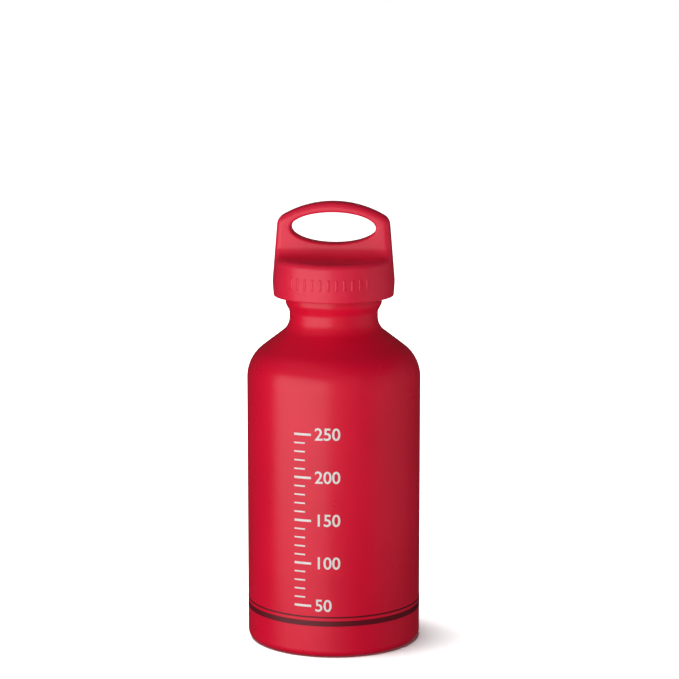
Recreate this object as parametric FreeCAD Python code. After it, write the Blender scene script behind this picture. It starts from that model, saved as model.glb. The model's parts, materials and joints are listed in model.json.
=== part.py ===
"""Camping fuel bottle with a push-and-turn stopper, in millimetres, +Z up.

The bottle stands on z = 0 with its axis on the Z axis. The loop handle's broad faces look along
-Y and +Y, and its eye runs through from front to back. Everything is shown closed and at rest.
"""

import FreeCAD
import Part
import math
import os

# Bottle body
BODY_DIAMETER = 65.0
BODY_WALL = 1.0
SHOULDER_CORNER_HEIGHT = 106.8  # where the wall's line and the shoulder's line would cross
SHOULDER_SLOPE = 37.4  # degrees above level
SHOULDER_RADIUS = 14.2
BASE_EDGE_RADIUS = 2.6
BASE_THICKNESS = 1.4
STANDING_RING_WIDTH = 3.0
BASE_DOME_RISE = 5.0
BASE_KNEE_RADIUS = 2.0

# Neck and rim
MOUTH_DIAMETER = 29.0  # root of the inside thread
NECK_WALL = 2.0
NECK_BLEND_RADIUS = 6.7
WAIST_HEIGHT = 5.6  # between the corners at the waist's lower and upper ends
COLLAR_PROUD = 1.5
COLLAR_FLARE_SLOPE = 63.0  # degrees above level
COLLAR_FLARE_RADIUS = 3.2
COLLAR_EDGE_RADIUS = 2.5
COLLAR_HEIGHT = 6.5
RIM_RADIUS = 1.0
MOUTH_CHAMFER = 0.5

# Sealing ring, squeezed
RING_HEIGHT = 1.9
RING_WIDTH = 2.7
RING_STRETCH_CLEARANCE = 0.2

# Threaded plug
THREAD_DEPTH = 1.0
THREAD_CLEARANCE = 0.3
PILOT_CLEARANCE = 0.5
PILOT_HEIGHT = 3.0
PLUG_LENGTH = 14.4  # below the flange
PLUG_WALL = 2.2
PLUG_ROOF = 3.2
PLUG_END_RADIUS = 0.8
FLANGE_THICKNESS = 1.6
FLANGE_EDGE_RADIUS = 0.4
RIB_THICKNESS = 2.0
RIB_RECESS = 2.0
VENT_WIDTH = 3.0
VENT_DEPTH = 1.2

# Push-and-turn drive
LUG_COUNT = 12
LUG_HEIGHT = 1.1
LUG_ANGLE = 11.0  # degrees round the axis
LUG_LENGTH = 6.5
LUG_INSET = 1.3  # from the flange's edge
PUSH_TRAVEL = 1.6
PUSH_STOP_CLEARANCE = 0.1

# Wave spring
SPRING_WAVES = 3
SPRING_THICKNESS = 0.4
SPRING_WIDTH = 3.8
SPRING_CLEARANCE = 0.05
SPRING_LUG_CLEARANCE = 1.9
SPRING_POINTS_PER_WAVE = 12
BOSS_CLEARANCE = 0.5

# Cap skirt
COLLAR_CLEARANCE = 1.1
SNAP_OVERLAP = 0.6
SNAP_HEIGHT = 1.4
SNAP_CLEARANCE = 0.05
FLANGE_CLEARANCE = 0.3
SKIRT_WALL = 2.4
SKIRT_OVERLAP = 3.7  # below the rim
SKIRT_SWELL = 0.4
SKIRT_SWELL_HEIGHT = 5.5
SKIRT_SWELL_RADIUS = 20.0
SKIRT_EDGE_RADIUS = 0.5
CAP_DRAFT = 4.8  # degrees

# Cap handle
LEDGE_THICKNESS = 4.05  # at its outer edge, over the drive's ceiling
LEDGE_SLOPE = 2.2  # degrees above level
SCOOP_RADIUS = 4.0
HANDLE_THICKNESS = 7.5
HANDLE_ROOT_WEB = 1.05
HANDLE_TOP_WEB = 3.9
HANDLE_SIDE_WEB = 5.3
EYE_HEIGHT = 11.6
EYE_EDGE_RADIUS = 0.9
CROWN_DROP = 6.3  # from the middle of the handle's top to its sides
CROWN_CORNER_RADIUS = 4.5
HANDLE_EDGE_RADIUS = 2.5
HANDLE_EDGE_SHARE = 0.7  # of the top web, the most that the edge there may take
EYE_EDGE_SHARE = 0.9  # of the root web, the most that the eye's edge may take

AXIS = FreeCAD.Vector(0, 0, 1)
ORIGIN = FreeCAD.Vector(0, 0, 0)

# Radii, from the mouth outward
mouth_radius = MOUTH_DIAMETER / 2
neck_radius = mouth_radius + NECK_WALL
collar_radius = neck_radius + COLLAR_PROUD
bead_radius = collar_radius + COLLAR_CLEARANCE
flange_radius = bead_radius + SNAP_OVERLAP
cap_bore_radius = flange_radius + FLANGE_CLEARANCE
skirt_radius = cap_bore_radius + SKIRT_WALL
body_radius = BODY_DIAMETER / 2

# Radii of the drive, from the flange's edge inward
lug_outer_radius = flange_radius - LUG_INSET
lug_inner_radius = lug_outer_radius - LUG_LENGTH
spring_outer_radius = lug_inner_radius - SPRING_LUG_CLEARANCE
spring_inner_radius = spring_outer_radius - SPRING_WIDTH
boss_radius = spring_inner_radius - BOSS_CLEARANCE

# Heights, from the base upward
shoulder_tangent = math.tan(math.radians(SHOULDER_SLOPE))
waist_bottom_z = SHOULDER_CORNER_HEIGHT + (body_radius - neck_radius) * shoulder_tangent
waist_top_z = waist_bottom_z + WAIST_HEIGHT
collar_bottom_z = waist_top_z + COLLAR_PROUD * math.tan(math.radians(COLLAR_FLARE_SLOPE))
rim_z = collar_bottom_z + COLLAR_HEIGHT
flange_bottom_z = rim_z + RING_HEIGHT
flange_top_z = flange_bottom_z + FLANGE_THICKNESS
ceiling_z = flange_top_z + LUG_HEIGHT + PUSH_TRAVEL + PUSH_STOP_CLEARANCE
ledge_z = ceiling_z + LEDGE_THICKNESS
skirt_bottom_z = rim_z - SKIRT_OVERLAP
swell_z = skirt_bottom_z + SKIRT_SWELL_HEIGHT
plug_bottom_z = flange_bottom_z - PLUG_LENGTH


def vec(r, z):
    """A point of an outline that is turned about the Z axis."""
    return FreeCAD.Vector(r, 0, z)


def rounded_path(corners):
    """Edges through (point, corner radius) pairs, with a tangent arc at each rounded corner."""
    edges = []
    here = corners[0][0]
    for i in range(1, len(corners)):
        corner, radius = corners[i]
        if radius == 0:
            edges.append(Part.makeLine(here, corner))
            here = corner
            continue
        back = (corners[i - 1][0] - corner).normalize()
        ahead = (corners[i + 1][0] - corner).normalize()
        half = back.getAngle(ahead) / 2
        reach = radius / math.tan(half)
        start = corner + back * reach
        end = corner + ahead * reach
        bisector = (back + ahead).normalize()
        middle = corner + bisector * (radius / math.sin(half) - radius)
        edges.append(Part.makeLine(here, start))
        edges.append(Part.Arc(start, middle, end).toShape())
        here = end
    return edges


def face_of(edges):
    return Part.Face(Part.Wire(Part.__sortEdges__(edges)))


def turned(corners):
    """The solid made by turning a closed outline about the Z axis."""
    closed = corners + [corners[0]]
    return face_of(rounded_path(closed)).revolve(ORIGIN, AXIS, 360)


def ring_section(inner, outer, bottom_z, top_z):
    """The rectangular section of a flat ring."""
    corners = [vec(inner, bottom_z), vec(outer, bottom_z), vec(outer, top_z), vec(inner, top_z)]
    return Part.Wire(Part.makePolygon(corners + [corners[0]]))


def lug_ring(bottom_z, top_z, first_angle):
    """A ring of drive lugs, each one a short sector."""
    lug = Part.Face(ring_section(lug_inner_radius, lug_outer_radius, bottom_z, top_z))
    lug = lug.revolve(ORIGIN, AXIS, LUG_ANGLE)
    pitch = 360 / LUG_COUNT
    lugs = []
    for i in range(LUG_COUNT):
        copy = lug.copy()
        copy.rotate(ORIGIN, AXIS, first_angle + i * pitch - LUG_ANGLE / 2)
        lugs.append(copy)
    return lugs


def dome_arc(radius, edge_z, rise):
    """Half of a dome's section, from its edge to its middle."""
    sphere = (radius * radius + rise * rise) / (2 * rise)
    half_way = math.asin(radius / sphere) / 2
    drop = sphere * (1 - math.cos(half_way))
    middle = vec(sphere * math.sin(half_way), edge_z + rise - drop)
    return Part.Arc(vec(radius, edge_z), middle, vec(0, edge_z + rise)).toShape()


def make_bottle():
    """One shell, thin in the body and thickening through the shoulder to the neck."""
    ring_inner = body_radius - BASE_EDGE_RADIUS - STANDING_RING_WIDTH
    inside = body_radius - BODY_WALL
    slope = math.radians(SHOULDER_SLOPE)
    # the inside shoulder lies one wall in from the outside shoulder, square to its slope
    inside_corner_z = SHOULDER_CORNER_HEIGHT + BODY_WALL * math.tan(slope) - BODY_WALL / math.cos(slope)
    inside_waist_z = inside_corner_z + (inside - mouth_radius) * shoulder_tangent
    outer = rounded_path(
        [
            (vec(ring_inner, 0), 0),
            (vec(body_radius, 0), BASE_EDGE_RADIUS),
            (vec(body_radius, SHOULDER_CORNER_HEIGHT), SHOULDER_RADIUS),
            (vec(neck_radius, waist_bottom_z), NECK_BLEND_RADIUS),
            (vec(neck_radius, waist_top_z), COLLAR_FLARE_RADIUS),
            (vec(collar_radius, collar_bottom_z), COLLAR_EDGE_RADIUS),
            (vec(collar_radius, rim_z), RIM_RADIUS),
            (vec(mouth_radius + MOUTH_CHAMFER, rim_z), 0),
        ]
    )
    inner = rounded_path(
        [
            (vec(mouth_radius + MOUTH_CHAMFER, rim_z), 0),
            (vec(mouth_radius, rim_z - MOUTH_CHAMFER), 0),
            (vec(mouth_radius, inside_waist_z), NECK_BLEND_RADIUS + NECK_WALL),
            (vec(inside, inside_corner_z), SHOULDER_RADIUS - BODY_WALL),
            (vec(inside, BASE_THICKNESS), BASE_EDGE_RADIUS - BODY_WALL),
            (vec(ring_inner, BASE_THICKNESS), 0),
        ]
    )
    inner_dome = dome_arc(ring_inner, BASE_THICKNESS, BASE_DOME_RISE)
    outer_dome = dome_arc(ring_inner, 0, BASE_DOME_RISE)
    middle = Part.makeLine(vec(0, BASE_DOME_RISE), vec(0, BASE_DOME_RISE + BASE_THICKNESS))
    profile = face_of(outer + inner + [inner_dome, middle, outer_dome])
    bottle = profile.revolve(ORIGIN, AXIS, 360)
    knees = []
    for edge in bottle.Edges:
        if edge.Degenerated or not isinstance(edge.Curve, Part.Circle):
            continue
        if edge.Curve.Axis.isParallel(AXIS, 0.001) and abs(edge.Curve.Radius - ring_inner) < 0.01:
            knees.append(edge)
    return bottle.makeFillet(BASE_KNEE_RADIUS, knees)


def make_o_ring():
    """A round cord squeezed flat on the rim and under the flange."""
    inner = mouth_radius - PILOT_CLEARANCE + RING_STRETCH_CLEARANCE
    outer = inner + RING_WIDTH
    side = RING_HEIGHT / 2
    middle_z = rim_z + side
    bottom = Part.makeLine(vec(inner + side, rim_z), vec(outer - side, rim_z))
    top = Part.makeLine(vec(outer - side, flange_bottom_z), vec(inner + side, flange_bottom_z))
    out_side = Part.Arc(bottom.lastVertex().Point, vec(outer, middle_z), top.firstVertex().Point)
    in_side = Part.Arc(top.lastVertex().Point, vec(inner, middle_z), bottom.firstVertex().Point)
    section = face_of([bottom, out_side.toShape(), top, in_side.toShape()])
    return section.revolve(ORIGIN, AXIS, 360)


def make_plug():
    """Hollow screw stopper with a flange, drive lugs on top and cross ribs inside."""
    pilot = mouth_radius - PILOT_CLEARANCE
    shank = mouth_radius - THREAD_CLEARANCE - THREAD_DEPTH
    hollow = shank - PLUG_WALL
    roof_z = flange_top_z - PLUG_ROOF
    pilot_bottom_z = flange_bottom_z - PILOT_HEIGHT
    plug = turned(
        [
            (vec(0, flange_top_z), 0),
            (vec(flange_radius, flange_top_z), FLANGE_EDGE_RADIUS),
            (vec(flange_radius, flange_bottom_z), FLANGE_EDGE_RADIUS),
            (vec(pilot, flange_bottom_z), 0),
            (vec(pilot, pilot_bottom_z), 0),
            (vec(shank, pilot_bottom_z - (pilot - shank)), 0),
            (vec(shank, plug_bottom_z), PLUG_END_RADIUS),
            (vec(hollow, plug_bottom_z), 0),
            (vec(hollow, roof_z), 0),
            (vec(0, roof_z), 0),
        ]
    )
    rib_bottom_z = plug_bottom_z + RIB_RECESS
    rib_height = roof_z + PLUG_ROOF / 2 - rib_bottom_z
    rib_length = 2 * hollow + PLUG_WALL
    corner = FreeCAD.Vector(-rib_length / 2, -RIB_THICKNESS / 2, rib_bottom_z)
    rib = Part.makeBox(rib_length, RIB_THICKNESS, rib_height, corner)
    cross_rib = rib.copy()
    cross_rib.rotate(ORIGIN, AXIS, 90)
    root_z = flange_top_z - FLANGE_THICKNESS / 2
    boss = Part.makeCylinder(boss_radius, LUG_HEIGHT + FLANGE_THICKNESS / 2, FreeCAD.Vector(0, 0, root_z))
    lugs = lug_ring(root_z, flange_top_z + LUG_HEIGHT, 0)
    plug = plug.fuse([rib, cross_rib, boss] + lugs)
    vents = []
    vent_height = pilot_bottom_z - THREAD_DEPTH - plug_bottom_z
    for angle in (45, 225):
        start = FreeCAD.Vector(shank - VENT_DEPTH, -VENT_WIDTH / 2, plug_bottom_z - 1)
        vent = Part.makeBox(VENT_DEPTH + 1, VENT_WIDTH, vent_height, start)
        vent.rotate(ORIGIN, AXIS, angle)
        vents.append(vent)
    return plug.cut(vents).removeSplitter()


def make_spring():
    """A flat strip ring bent into waves between the plug's flange and the cap's ceiling."""
    room = ceiling_z - flange_top_z - 2 * SPRING_CLEARANCE
    swing = (room - SPRING_THICKNESS) / 2
    middle_z = flange_top_z + SPRING_CLEARANCE + swing
    mean = (spring_inner_radius + spring_outer_radius) / 2
    count = SPRING_WAVES * SPRING_POINTS_PER_WAVE
    points = []
    for i in range(count):
        angle = 2 * math.pi * i / count
        z = middle_z + swing * math.sin(SPRING_WAVES * angle)
        points.append(FreeCAD.Vector(mean * math.cos(angle), mean * math.sin(angle), z))
    path = Part.BSplineCurve()
    path.interpolate(points, PeriodicFlag=True)
    top_z = middle_z + SPRING_THICKNESS
    strip = ring_section(spring_inner_radius, spring_outer_radius, middle_z, top_z)
    sweep = Part.BRepOffsetAPI.MakePipeShell(Part.Wire(path.toShape()))
    sweep.setBiNormalMode(AXIS)
    sweep.add(strip, False, False)
    sweep.build()
    sweep.makeSolid()
    return sweep.shape()


def handle_sizes():
    """Heights and half widths of the handle, from the ledge up."""
    draft = math.tan(math.radians(CAP_DRAFT))
    widest = skirt_radius + SKIRT_SWELL
    ledge_radius = widest - (ledge_z - swell_z) * draft
    slope = math.radians(LEDGE_SLOPE)
    half = HANDLE_THICKNESS / 2
    root_z = ledge_z + (ledge_radius - half) * math.tan(slope)
    scoop_reach = SCOOP_RADIUS / math.tan((math.pi / 2 + slope) / 2)
    eye_bottom_z = root_z + scoop_reach + HANDLE_ROOT_WEB
    eye_z = eye_bottom_z + EYE_HEIGHT / 2
    crown_z = eye_bottom_z + EYE_HEIGHT + HANDLE_TOP_WEB
    eye_half_width = widest - (eye_z - swell_z) * draft - HANDLE_SIDE_WEB
    crown_half_width = widest - (crown_z - CROWN_DROP - swell_z) * draft
    return root_z, eye_z, eye_half_width, crown_z, crown_half_width


def scoop(root_z, side):
    """The room cut away on one side of the handle: a sloping floor rounded up into its face."""
    half = HANDLE_THICKNESS / 2
    reach = 2 * skirt_radius
    slope = math.radians(LEDGE_SLOPE)
    floor_z = root_z - (reach - half) * math.tan(slope)
    top_z = root_z + reach
    corners = [
        (FreeCAD.Vector(-reach, side * half, top_z), 0),
        (FreeCAD.Vector(-reach, side * half, root_z), SCOOP_RADIUS),
        (FreeCAD.Vector(-reach, side * reach, floor_z), 0),
        (FreeCAD.Vector(-reach, side * reach, top_z), 0),
        (FreeCAD.Vector(-reach, side * half, top_z), 0),
    ]
    return face_of(rounded_path(corners)).extrude(FreeCAD.Vector(2 * reach, 0, 0))


def crown_cutter(crown_z, crown_half_width):
    """The room above the handle's arched top."""
    reach = 2 * skirt_radius
    side_z = crown_z - CROWN_DROP
    left = FreeCAD.Vector(-crown_half_width, -reach, side_z)
    right = FreeCAD.Vector(crown_half_width, -reach, side_z)
    arch = Part.Arc(left, FreeCAD.Vector(0, -reach, crown_z), right).toShape()
    radius = arch.Curve.Radius
    centre = arch.Curve.Center
    span = math.asin(crown_half_width / radius) * 1.3
    end_x = radius * math.sin(span)
    end_z = centre.z + radius * math.cos(span)
    low_left = FreeCAD.Vector(-end_x, -reach, end_z)
    low_right = FreeCAD.Vector(end_x, -reach, end_z)
    long_arch = Part.Arc(low_left, FreeCAD.Vector(0, -reach, crown_z), low_right).toShape()
    high_left = FreeCAD.Vector(-end_x, -reach, crown_z + reach)
    high_right = FreeCAD.Vector(end_x, -reach, crown_z + reach)
    frame = [
        long_arch,
        Part.makeLine(low_right, high_right),
        Part.makeLine(high_right, high_left),
        Part.makeLine(high_left, low_left),
    ]
    return face_of(frame).extrude(FreeCAD.Vector(0, 2 * reach, 0))


def is_scooped(face):
    """True for the handle's faces and the scoops' floors, which run straight along X."""
    surface = face.Surface
    if isinstance(surface, Part.Cylinder):
        return abs(surface.Axis.x) > 0.99
    return isinstance(surface, Part.Plane) and face.CenterOfMass.z > ledge_z


def is_crown(face):
    """True for the handle's arched top."""
    return isinstance(face.Surface, Part.Cylinder) and abs(face.Surface.Axis.y) > 0.99


def edges_between(shape, first_kind, second_kind):
    """Edges that have a face of one kind on one side and of the other kind on the other."""
    found = []
    for edge in shape.Edges:
        beside = shape.ancestorsOfType(edge, Part.Face)
        if len(beside) != 2:
            continue
        one, other = beside
        if first_kind(one) and second_kind(other) or first_kind(other) and second_kind(one):
            found.append(edge)
    return found


def cap_drum(top_z):
    """The cap's outside before the handle is cut: it swells from the hem, then tapers."""
    draft = math.tan(math.radians(CAP_DRAFT))
    widest = skirt_radius + SKIRT_SWELL
    drum = turned(
        [
            (vec(0, skirt_bottom_z), 0),
            (vec(skirt_radius, skirt_bottom_z), SKIRT_EDGE_RADIUS),
            (vec(widest, swell_z), SKIRT_SWELL_RADIUS),
            (vec(widest - (top_z - swell_z) * draft, top_z), 0),
            (vec(0, top_z), 0),
        ]
    )
    drum.rotate(ORIGIN, AXIS, 90)
    return drum


def cap_cavity():
    """The room inside the skirt, narrowed by the bead that snaps under the plug's flange."""
    below_z = skirt_bottom_z - SKIRT_WALL
    bead_top_z = flange_bottom_z - SNAP_CLEARANCE
    bead_lead_z = bead_top_z - SNAP_HEIGHT
    return turned(
        [
            (vec(0, below_z), 0),
            (vec(cap_bore_radius, below_z), 0),
            (vec(cap_bore_radius, bead_lead_z), 0),
            (vec(bead_radius, bead_top_z - SNAP_HEIGHT / 3), 0),
            (vec(bead_radius, bead_top_z), 0),
            (vec(cap_bore_radius, bead_top_z), 0),
            (vec(cap_bore_radius, ceiling_z), 0),
            (vec(0, ceiling_z), 0),
        ]
    )


def make_cap():
    """Drafted drum, scooped front and back to leave a loop handle, and bored for the drive."""
    root_z, eye_z, eye_half_width, crown_z, crown_half_width = handle_sizes()
    drum = cap_drum(crown_z + HANDLE_TOP_WEB)
    cap = drum.cut([scoop(root_z, -1), scoop(root_z, 1), crown_cutter(crown_z, crown_half_width)])
    corners = edges_between(cap, is_crown, lambda face: isinstance(face.Surface, Part.Cone))
    cap = cap.makeFillet(CROWN_CORNER_RADIUS, corners)
    edges = edges_between(cap, is_scooped, lambda face: not is_scooped(face))
    cap = cap.makeFillet(min(HANDLE_EDGE_RADIUS, HANDLE_EDGE_SHARE * HANDLE_TOP_WEB), edges)
    reach = HANDLE_THICKNESS
    middle = FreeCAD.Vector(0, -reach, eye_z)
    tip = FreeCAD.Vector(eye_half_width, -reach, eye_z)
    top = FreeCAD.Vector(0, -reach, eye_z + EYE_HEIGHT / 2)
    oval = Part.Wire(Part.Ellipse(tip, top, middle).toShape())
    eye = Part.Face(oval).extrude(FreeCAD.Vector(0, 2 * reach, 0))
    cap = cap.cut(eye)
    rims = edges_between(
        cap, is_scooped, lambda face: isinstance(face.Surface, Part.SurfaceOfExtrusion)
    )
    cap = cap.makeFillet(min(EYE_EDGE_RADIUS, EYE_EDGE_SHARE * HANDLE_ROOT_WEB), rims)
    lugs = lug_ring(ceiling_z - LUG_HEIGHT, ceiling_z + LEDGE_THICKNESS / 2, 180 / LUG_COUNT)
    return cap.cut(cap_cavity()).fuse(lugs).removeSplitter()


def save(shape, name):
    shape.exportStep(os.path.join("parts", name + ".step"))
    print(name, shape.ShapeType, len(shape.Solids), shape.isValid(), round(shape.Volume, 1), shape.BoundBox)


os.makedirs("parts", exist_ok=True)
save(make_bottle(), "bottle_shell")
save(make_o_ring(), "plug_o_ring")
save(make_plug(), "threaded_plug")
save(make_spring(), "wave_spring")
save(make_cap(), "cap_shell")
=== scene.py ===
"""Looks of a camping fuel bottle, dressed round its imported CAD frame, in metres with +Z up.

The bottle, the seal and the spring are turned from their outlines, the cap and the plug are smooth
copies of their CAD nodes, and Geometry Nodes make the threads, the level scale and the grip bars.
"""

import json
import math
from collections import namedtuple

import bmesh
import bpy
from bpy.props import FloatProperty, FloatVectorProperty, IntProperty, PointerProperty
from mathutils import Matrix, Vector

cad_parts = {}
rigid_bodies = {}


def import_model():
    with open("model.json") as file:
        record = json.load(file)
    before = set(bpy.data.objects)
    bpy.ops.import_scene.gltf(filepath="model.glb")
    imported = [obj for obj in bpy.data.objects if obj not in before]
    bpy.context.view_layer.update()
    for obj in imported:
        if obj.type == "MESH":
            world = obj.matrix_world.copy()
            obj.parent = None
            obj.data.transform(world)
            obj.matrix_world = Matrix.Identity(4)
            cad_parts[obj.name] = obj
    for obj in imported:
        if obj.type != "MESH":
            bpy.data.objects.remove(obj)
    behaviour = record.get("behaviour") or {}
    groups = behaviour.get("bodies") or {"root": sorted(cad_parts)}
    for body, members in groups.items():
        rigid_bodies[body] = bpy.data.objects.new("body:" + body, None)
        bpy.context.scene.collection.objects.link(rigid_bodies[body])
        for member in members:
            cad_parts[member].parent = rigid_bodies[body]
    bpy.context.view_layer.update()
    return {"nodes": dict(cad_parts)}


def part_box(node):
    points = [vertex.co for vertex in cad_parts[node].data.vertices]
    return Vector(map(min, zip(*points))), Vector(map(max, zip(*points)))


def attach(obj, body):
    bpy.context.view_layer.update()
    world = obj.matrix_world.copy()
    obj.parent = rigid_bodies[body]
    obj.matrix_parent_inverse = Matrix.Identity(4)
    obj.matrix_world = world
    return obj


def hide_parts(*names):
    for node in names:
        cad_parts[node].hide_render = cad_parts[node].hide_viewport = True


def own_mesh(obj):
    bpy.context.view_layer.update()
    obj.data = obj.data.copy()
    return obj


bl_info = {
    "name": "Camping fuel bottle",
    "version": (1, 0, 0),
    "blender": (4, 5, 0),
    "location": "View3D > Sidebar > Fuel bottle",
    "description": "Dresses the packed fuel bottle with its finishes, threads, print and stage",
    "category": "Object",
}

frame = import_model()
BOTTLE_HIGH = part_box("bottle_shell")[1]
RING_LOW, RING_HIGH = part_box("plug_o_ring")
SPRING_LOW, SPRING_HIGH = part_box("wave_spring")
CAP_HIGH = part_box("cap_shell")[1]

MM = 0.001
MILLILITRE = 1e-6
FULL_TURN = 2 * math.pi

# Meshes
ARC_STEP = math.radians(4)
SHARP_ANGLE = math.radians(32)
MERGE_DISTANCE = 1e-6
LONG_RUN = 1.5 * MM
SUPPORT_GAP = 0.3 * MM
DOME_STEPS = 24
SPRING_SEGMENTS = 216
THREAD_FACETS_PER_TURN = 120
THREAD_FACETS_UP = 11
THREAD_ROUNDNESS = 3.0
MARK_FACETS = 16
BAR_FACETS_ACROSS = 9
BAR_FACETS_UP = 17
BAR_ROUNDNESS_ACROSS = 4.0
BAR_ROUNDNESS_UP = 10.0
BAR_EDGE_SINK = 0.1
NUMERAL_CURVE_STEPS = 5
NUMERAL_BOLDNESS = 0.012

# Finishes
SATIN_SPECULAR = 0.45
FOOT_WEAR = 0.22
CROWN_WEAR = 0.06
WORN_WHITENESS = 0.35
SEAM_TOP = 0.04 * MM
SEAM_EDGE = 0.12 * MM
NOISE_ROUGHNESS = 0.55
DRIFT_RANGE = (0.35, 0.65)
HANDLING_RANGE = (0.3, 0.7)
SCUFF_RANGE = (0.5, 0.62)
SPECK_FINENESS = 30.0
SPECK_SHARE = 0.35

# Stage
FLOOR_REACH = 4.0
FLOOR_NEAR = 0.12
FLOOR_FAR = 0.60
SENSOR_WIDTH = 36.0
LAMP_DISTANCE = 0.9
PANEL_LEVEL = 0.13

# Azimuths are in degrees from the camera's side, distances and sizes in metres. Only mirrored
# panels show in the finishes, and flat ones lie on the table and shine up.
Panel = namedtuple("Panel", "name setting azimuth elevation width height distance mirrored flat")
PANELS = (
    Panel("left_softbox", "key", -44.0, 0.0, 1.40, 0.70, LAMP_DISTANCE, True, False),
    Panel("back_strip", "strip", 180.0, -22.0, 0.40, 0.30, LAMP_DISTANCE, True, False),
    Panel("front_fill", "front", 15.0, 10.0, 0.70, 0.70, LAMP_DISTANCE, False, False),
    Panel("side_fill", "side", 90.0, 0.0, 1.40, 0.70, LAMP_DISTANCE, False, False),
    Panel("low_fill", "bounce", -30.0, -35.0, 1.50, 0.45, LAMP_DISTANCE, False, False),
    Panel("overhead_fill", "overhead", -50.0, 50.0, 1.20, 0.45, LAMP_DISTANCE, False, False),
    Panel("back_fill", "back", 180.0, 0.0, 0.50, 0.60, LAMP_DISTANCE, False, False),
    Panel("table_front", "table_front", -20.0, 0.0, 0.80, 0.30, 0.45, False, True),
    Panel("table_side", "table_side", 75.0, 0.0, 0.50, 0.40, 0.35, False, True),
    Panel("floor_wash", "wash", -98.0, 74.0, 0.80, 0.80, LAMP_DISTANCE, True, False),
)

# Kinds of node trees and sockets
GEOMETRY_TREE = "GeometryNodeTree"
SHADER_TREE = "ShaderNodeTree"
NUMBER = "NodeSocketFloat"
WHOLE = "NodeSocketInt"
SHAPE = "NodeSocketGeometry"
FINISH = "NodeSocketMaterial"
THING = "NodeSocketObject"
TINT = "NodeSocketColor"
PLACE = "NodeSocketVector"


# Settings


def length(name, description, default):
    kind = {"precision": 5, "subtype": "DISTANCE", "unit": "LENGTH"}
    return FloatProperty(name=name, description=description, default=default, **kind)


def angle(name, description, degrees):
    kind = {"subtype": "ANGLE", "unit": "ROTATION"}
    turn = math.radians(degrees)
    return FloatProperty(name=name, description=description, default=turn, **kind)


def count(name, description, default):
    return IntProperty(name=name, description=description, default=default, min=1)


def amount(name, description, default):
    return FloatProperty(name=name, description=description, default=default, min=0.0)


def colour(name, description, default):
    kind = {"size": 3, "min": 0.0, "max": 1.0, "subtype": "COLOR"}
    return FloatVectorProperty(name=name, description=description, default=default, **kind)


class BottleSizes(bpy.types.PropertyGroup):
    """Outline of the pressed aluminium bottle."""

    body_radius: length("Body radius", "Outside of the straight wall with its print", BOTTLE_HIGH.x)
    wall: length("Wall", "Thickness of the straight wall", 1.0 * MM)
    shoulder_height: length("Shoulder height", "Where wall and shoulder lines cross", 106.8 * MM)
    shoulder_slope: angle("Shoulder slope", "Above level", 37.4)
    shoulder_radius: length("Shoulder radius", "Round from the wall into the shoulder", 14.2 * MM)
    foot_radius: length("Foot radius", "Round between wall and standing ring", 2.6 * MM)
    foot_width: length("Foot width", "Flat of the standing ring", 3.0 * MM)
    base_thickness: length("Base thickness", "Metal under the fuel", 1.4 * MM)
    dome_rise: length("Dome rise", "Height of the base's hollow dome", 5.0 * MM)
    knee_radius: length("Knee radius", "Round between the dome and the standing ring", 2.0 * MM)
    mouth_radius: length("Mouth radius", "Root of the neck's thread", 14.5 * MM)
    neck_wall: length("Neck wall", "Thickness of the neck", 2.0 * MM)
    neck_radius: length("Neck blend", "Round from the shoulder into the neck", 6.7 * MM)
    waist_height: length("Waist height", "Between the corners of the neck's waist", 5.6 * MM)
    collar_proud: length("Collar", "How far the collar stands out from the waist", 1.5 * MM)
    flare_slope: angle("Flare slope", "Of the collar's underside, above level", 63.0)
    flare_radius: length("Flare radius", "Round from the waist into the collar", 3.2 * MM)
    collar_edge: length("Collar edge", "Round at the collar's lower edge", 2.5 * MM)
    rim_radius: length("Rim radius", "Round at the mouth's outer edge", 1.0 * MM)
    mouth_chamfer: length("Mouth chamfer", "Lead into the neck's thread", 0.5 * MM)
    segments: count("Segments", "Faces round the axis", 256)


class StopperSizes(bpy.types.PropertyGroup):
    """Sizes of the threads, the seal, the spring and the cap's grip bars."""

    pitch: length("Pitch", "Rise of the threads in one turn", 3.0 * MM)
    thread_width: length("Thread width", "At its root", 1.7 * MM)
    thread_depth: length("Thread depth", "From root to crest", 1.0 * MM)
    thread_embed: length("Thread embed", "How deep a thread is rooted in its wall", 0.3 * MM)
    run_out: length("Run-out", "Length over which a thread fades at its ends", 4.0 * MM)
    neck_thread_start: length("Neck thread start", "Where the neck's thread begins", 124.7 * MM)
    neck_thread_span: angle("Neck thread span", "Round the axis", 900.0)
    shank_radius: length("Shank radius", "Root of the plug's thread", 13.2 * MM)
    plug_thread_start: length("Plug thread start", "Where the plug's thread begins", 123.4 * MM)
    plug_thread_bars: count("Plug thread bars", "Half turns between the vent grooves", 5)
    plug_thread_span: angle("Plug thread span", "Of each half turn", 160.0)
    vent_angle: angle("Vent angle", "Of the first vent groove, from the front", 135.0)
    ring_width: length("Ring width", "Of the squeezed sealing ring", 2.7 * MM)
    spring_width: length("Spring width", "Of the flat strip", 3.8 * MM)
    spring_strip: length("Spring strip", "Thickness of the flat strip", 0.4 * MM)
    spring_waves: count("Spring waves", "Waves round the spring", 3)
    bar_count: count("Grip bars", "On each of the cap's two broad sides", 11)
    bar_pitch: length("Bar pitch", "Between grip bars, round the skirt", 3.0 * MM)
    bar_width: length("Bar width", "Of a grip bar", 1.1 * MM)
    bar_height: length("Bar height", "Of a grip bar", 4.4 * MM)
    bar_relief: length("Bar relief", "How far a grip bar stands out", 0.22 * MM)
    bar_level: length("Bar level", "Height of the grip bars' middles", 136.9 * MM)


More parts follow.
